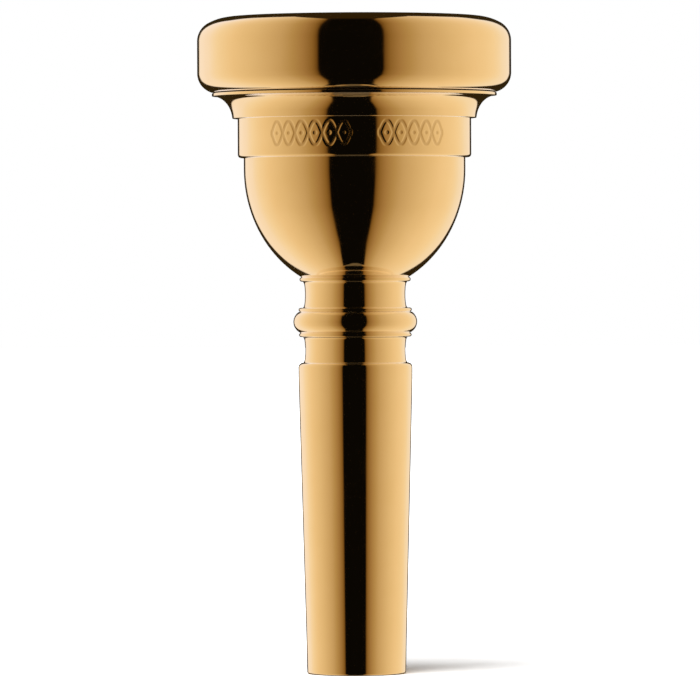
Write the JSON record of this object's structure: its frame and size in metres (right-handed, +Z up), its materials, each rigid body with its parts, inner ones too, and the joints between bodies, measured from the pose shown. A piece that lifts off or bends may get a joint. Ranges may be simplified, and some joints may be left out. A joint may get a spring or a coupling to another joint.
{
  "type": "brass mouthpiece",
  "caption": "Gold-plated trombone mouthpiece: a tapered shank, a cup and a rounded rim that screw together around an open bore.",
  "frame": {"origin": "centre of the shank's open end, the lowest point, on the bore's axis", "axes": "+Z up the bore from the shank's end to the rim; X and Y lie in the plane of the shank's end, and -Y faces the ornament on the band"},
  "size_m": [0.0402, 0.0402, 0.0839],
  "materials": {
    "gold_plate": "mirror-polished gold plate over brass, with very fine turning marks",
    "seal_rubber": "matt black nitrile rubber"
  },
  "bodies": {
    "shank": {"shank": "gold_plate"},
    "shank_seal": {"shank_seal": "seal_rubber"},
    "cup": {"cup": "gold_plate"},
    "rim_seal": {"rim_seal": "seal_rubber"},
    "rim": {"rim": "gold_plate"}
  },
  "joints": [
    {"name": "cup_lift", "type": "slide", "parent": "shank", "child": "shank_seal", "axis": [0, 0, 1], "range_m": [0, 0.0045]},
    {"name": "cup_turn", "type": "hinge", "parent": "shank_seal", "child": "cup", "pos_m": [0, 0, 0.043], "axis": [0, 0, 1], "range_deg": [0, 1620]},
    {"name": "rim_turn", "type": "hinge", "parent": "cup", "child": "rim_seal", "pos_m": [0, 0, 0.0742], "axis": [0, 0, 1], "range_deg": [0, 1620]},
    {"name": "rim_lift", "type": "slide", "parent": "rim_seal", "child": "rim", "axis": [0, 0, 1], "range_m": [0, 0.0045]}
  ],
  "couplings": [
    {"joint": "cup_turn", "follows": "cup_lift", "rad_per_m": 6283.2},
    {"joint": "rim_turn", "follows": "rim_lift", "rad_per_m": 6283.2}
  ]
}
